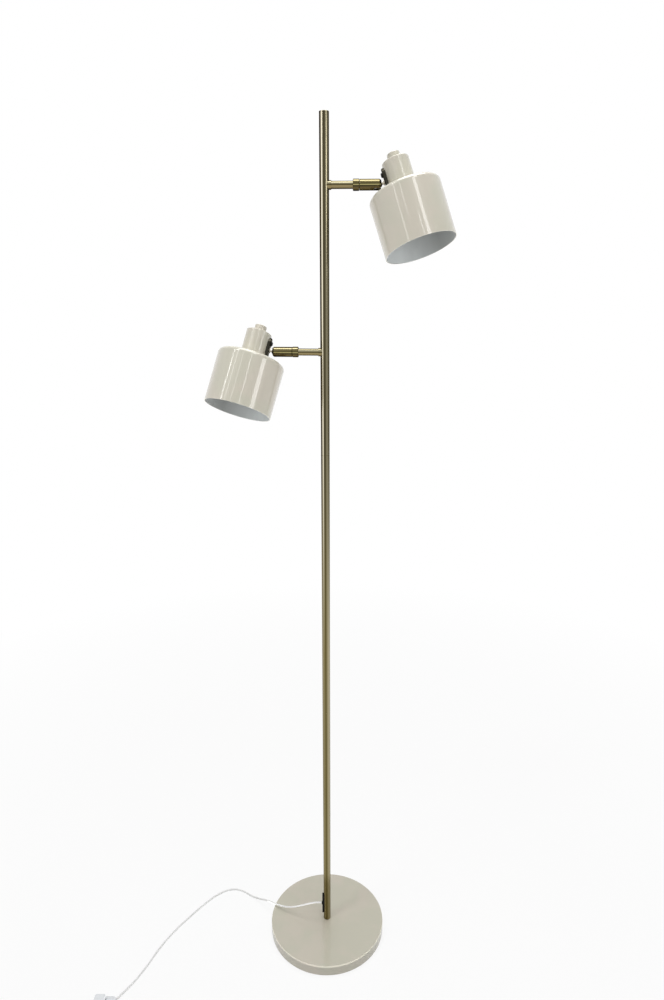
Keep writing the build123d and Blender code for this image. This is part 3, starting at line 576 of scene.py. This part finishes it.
shade_paint = sand_paint("shade_paint", 0.34, 0.9)
bracket = Finish("dark_nickel", metallic=1.0, specular_tint=(0.3, 0.28, 0.24))
bracket.set("Base Color", bracket.noise(0.004).mix((0.018, 0.016, 0.011), (0.055, 0.052, 0.042)))
bracket.set("Roughness", 0.14 + 0.2 * bracket.noise(0.0012))
black_steel = Finish("blackened_steel", base_color=(0.006, 0.006, 0.006), specular_ior_level=0.3)
black_steel.set("Roughness", 0.38 + 0.2 * black_steel.noise(0.0006))
holder = Finish("holder_moulding", roughness=0.5)
holder.set("Base Color", holder.noise(0.004).mix((0.7, 0.68, 0.62), (0.63, 0.61, 0.55)))
holder.bump(holder.noise(0.0007, 3.0), 0.00004, 0.5)
frosted = Finish(
    "frosted_glass", base_color=(0.92, 0.92, 0.9), roughness=0.32, transmission_weight=0.3,
    coat_weight=0.3, coat_roughness=0.1)
frosted.bump(frosted.noise(0.0009, 2.0), 0.00002, 0.4)
cap_metal = Finish("bulb_cap", base_color=(0.72, 0.72, 0.73), metallic=1.0)
cap_metal.set("Roughness", 0.25 + 0.2 * cap_metal.noise(0.002))

for side in SIDES:
    inside = Finish(f"{side}_shade_inside", roughness=0.5)
    to_head = head_frame(side).inverted()
    local = inside.tree.node(
        "ShaderNodeMapping", {
            "Vector": inside.place, "Location": to_head.to_translation(),
            "Rotation": to_head.to_euler()})
    outward, depth = (
        inside.tree.node("ShaderNodeSeparateXYZ", {"Vector": local}, output=axis)
        for axis in (0, 2)
    )
    # Painted shade: the white inside darkens deep in the shade and on its side away from the pole.
    painted_shade_across = outward.between(-PAINTED_SHADE_REACH, PAINTED_SHADE_REACH) * PAINTED_SHADE_ACROSS_SHARE
    painted_shade = painted_shade_across + depth.between(-SHADE_LENGTH, 0) * (1 - PAINTED_SHADE_ACROSS_SHARE)
    inside.set("Base Color", painted_shade.mix(WHITE_ENAMEL, ENAMEL_PAINTED_SHADE))
    inside.bump(inside.noise(0.0018, 2.0), 0.00003, 0.3)
    shade = nodes[f"{side}_shade"].data
    shade.materials.clear()
    shade.materials.append(shade_paint.material)
    shade.materials.append(inside.material)
    for polygon in shade.polygons:
        centre = to_head @ polygon.center
        normal = to_head.to_3x3() @ polygon.normal
        inward = centre.xy.normalized().dot(normal.xy) < -0.1
        under_top = normal.z < -0.3 and centre.z > -TOP_WALL_REGION
        polygon.material_index = 1 if inward or under_top else 0
    dress(shade_paint, f"{side}_hood", f"{side}_switch_knob")
    dress(bracket, f"{side}_bracket_plate")
    dress(black_steel, f"{side}_bracket_screw")
    dress(holder, f"{side}_lampholder", f"{side}_shade_ring")
    dress(frosted, f"{side}_bulb")
    dress(cap_metal, f"{side}_bulb_base")

# Foot switch and plug --------------------------------------------------------------------
# Two screwed shells with a rocking pedal, and a flat two-pin plug moulded on the lead, all in
# white plastic with a fine spark-eroded grain; the pins are nickel plated brass.

white_moulding = Finish("white_moulding", base_color=(0.76, 0.78, 0.80))
white_moulding.set("Roughness", 0.3 + 0.14 * white_moulding.noise(0.01))
white_moulding.bump(white_moulding.noise(0.0005), 0.00004, 0.5)
dress(white_moulding, "foot_switch_base", "foot_switch_cover", "foot_switch_pedal", "plug_body")
pin_nickel = Finish("pin_nickel", base_color=(0.7, 0.69, 0.66), metallic=1.0)
pin_nickel.set("Roughness", 0.14 + 0.16 * pin_nickel.noise(0.001))
dress(pin_nickel, "plug_pins")
